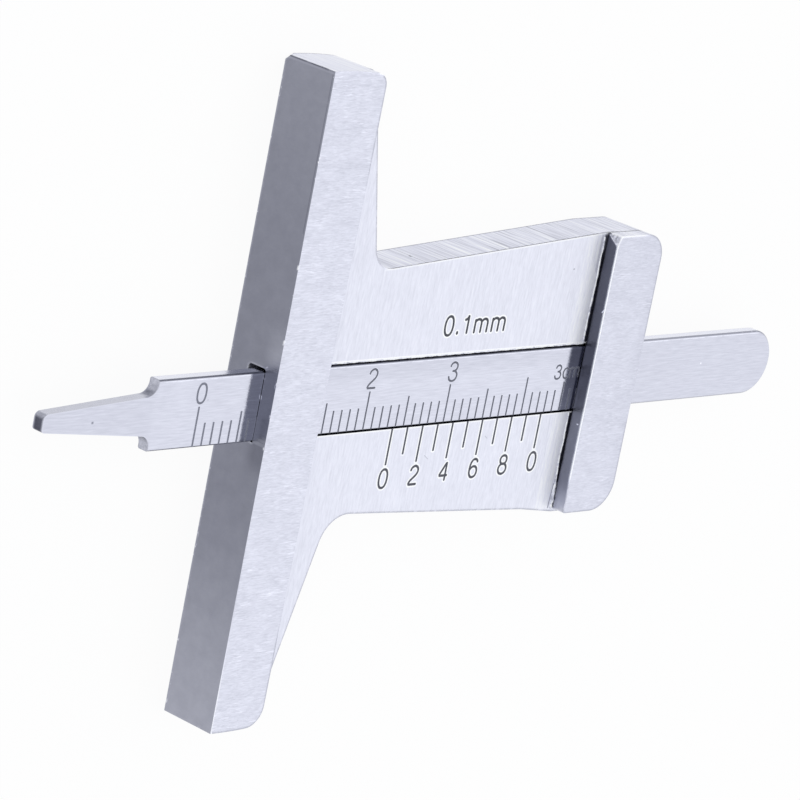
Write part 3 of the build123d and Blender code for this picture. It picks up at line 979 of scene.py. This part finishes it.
def vernierStrokes(scale):
    # The engraving runs a hair out of true: it climbs by a small share of the way along
    strokes = []
    for k in range(scale["divisions"] + 1):
        x = scale["zeroX"] + k * scale["step"]
        climb = scale["climb"] * (x - scale["zeroX"])
        end = (scale["oddTo"] if k % 2 else scale["evenTo"]) + climb
        strokes.append(([(x, scale["from"]), (x, end)], scale["lineWidth"], squareEnds))
        if k % 2 == 0:
            origin = (x + scale["figureShift"], scale["numeralFoot"] + climb)
            strokes += writeText(str(k % 10), scale["numeralHeight"], origin, [0.0],
                                 scale["numeralWidth"])
    origin = (scale["readsX"], scale["readsFoot"])
    return strokes + writeText(scale["reads"], scale["readsHeight"], origin, scale["readsAdvance"],
                               scale["readsWidth"])


def etchScale(name, body, strokes, face, scale, settings):
    filling = makeMarkMaterial(name + "Filling", scale, settings)
    burrSteel = makeBurrSteel(name + "Burr", scale, settings)
    makeMarks(name + "_marks", body, strokes, face, settings["proud"], settings,
              filling)
    makeMarks(name + "_burrs", body, burred(strokes, scale["burr"]), face,
              settings["burrProud"], settings, burrSteel)


etchScale("rule", "rule", ruleStrokes(ruleScale), markSettings["ruleFace"],
          ruleScale, markSettings)
etchScale("vernier", "gauge_body", vernierStrokes(vernierScale),
          markSettings["plateFace"], vernierScale, markSettings)
print("scales etched")


# Floor, world and lamps

stageSettings = {
    # In metres, unlike the rest
    "floorHalf": 3.0, "floorDrop": 0.00005, "lampAim": (0.02, 0.0, 0.0),
    "floorColour": (0.90, 0.905, 0.915), "whiteShare": 0.92,
    "worldColour": (0.985, 0.99, 1.0), "worldStrength": 0.90,
    # Where each lamp is seen from the gauge, its distance, size and radiance
    "lamps": {
        "keySoftbox": ((0.73, -0.254, 0.633), 0.85, 0.75, 0.29),
        "fillSoftbox": ((-0.62, 0.35, 0.70), 0.90, 0.60, 0.225),
        "topSoftbox": ((0.0, 0.1, 1.0), 1.00, 0.60, 0.248),
    },
}


def whiteToTheEye(settings, shader, white):
    # The shader, or plain white in the given share where the camera or a reflection looks at it
    path = addNode("LightPath", tree=shader.id_data).outputs
    seen = larger(path["Is Camera Ray"], path["Is Glossy Ray"])
    seen = larger(seen, path["Is Transmission Ray"])
    share = both(seen, settings["whiteShare"])
    return addNode("MixShader", {0: share, 1: shader, 2: white}).outputs[0]


def makeFloor(settings):
    # Pale from above, and clear from below so that the back of the gauge can be seen
    material = bpy.data.materials.new("paleFloor")
    tree = clearTree(material)
    matt = addNode("BsdfDiffuse", {"Color": (*settings["floorColour"], 1.0)}, tree).outputs[0]
    white = addNode("Emission", {"Color": (1.0, 1.0, 1.0, 1.0), "Strength": 1.0}, tree).outputs[0]
    top = whiteToTheEye(settings, matt, white)
    clear = addNode("BsdfTransparent", tree=tree).outputs[0]
    below = addNode("NewGeometry", tree=tree).outputs["Backfacing"]
    surface = addNode("MixShader", {0: below, 1: top, 2: clear}).outputs[0]
    addNode("OutputMaterial", {0: surface})
    half, drop = settings["floorHalf"], settings["floorDrop"]
    corners = [(x * half, y * half, -drop) for x, y in ((-1, -1), (1, -1), (1, 1), (-1, 1))]
    floor = addMesh("floor", corners, [(0, 1, 2, 3)], material)


def makeWorld(settings):
    # Even pale light all round, and plain white where the camera looks past the floor
    world = bpy.data.worlds.new("studio")
    tree = clearTree(world)
    light = addNode("Background", {"Color": (*settings["worldColour"], 1.0),
                                   "Strength": settings["worldStrength"]}, tree).outputs[0]
    white = addNode("Background", {"Color": (1.0, 1.0, 1.0, 1.0), "Strength": 1.0}, tree).outputs[0]
    seen = addNode("LightPath", tree=tree).outputs["Is Camera Ray"]
    surface = addNode("MixShader", {0: seen, 1: light, 2: white}).outputs[0]
    addNode("OutputWorld", {0: surface})
    bpy.context.scene.world = world


def makeLamps(settings):
    # A square softbox of radiance r and side s gives r times pi times s squared watts, and looks
    # at the gauge
    aim = Vector(settings["lampAim"])
    for name, (seenAt, distance, size, radiance) in settings["lamps"].items():
        data = bpy.data.lights.new(name, "AREA")
        data.size = size
        data.energy = radiance * np.pi * size ** 2
        towards = Vector(seenAt).normalized()
        softbox = addObject(name, data)
        softbox.location = aim + towards * distance
        softbox.rotation_euler = towards.to_track_quat("Z", "Y").to_euler()


makeFloor(stageSettings)
makeWorld(stageSettings)
makeLamps(stageSettings)
bpy.context.scene.view_settings.view_transform = "Standard"
print("studio lit")
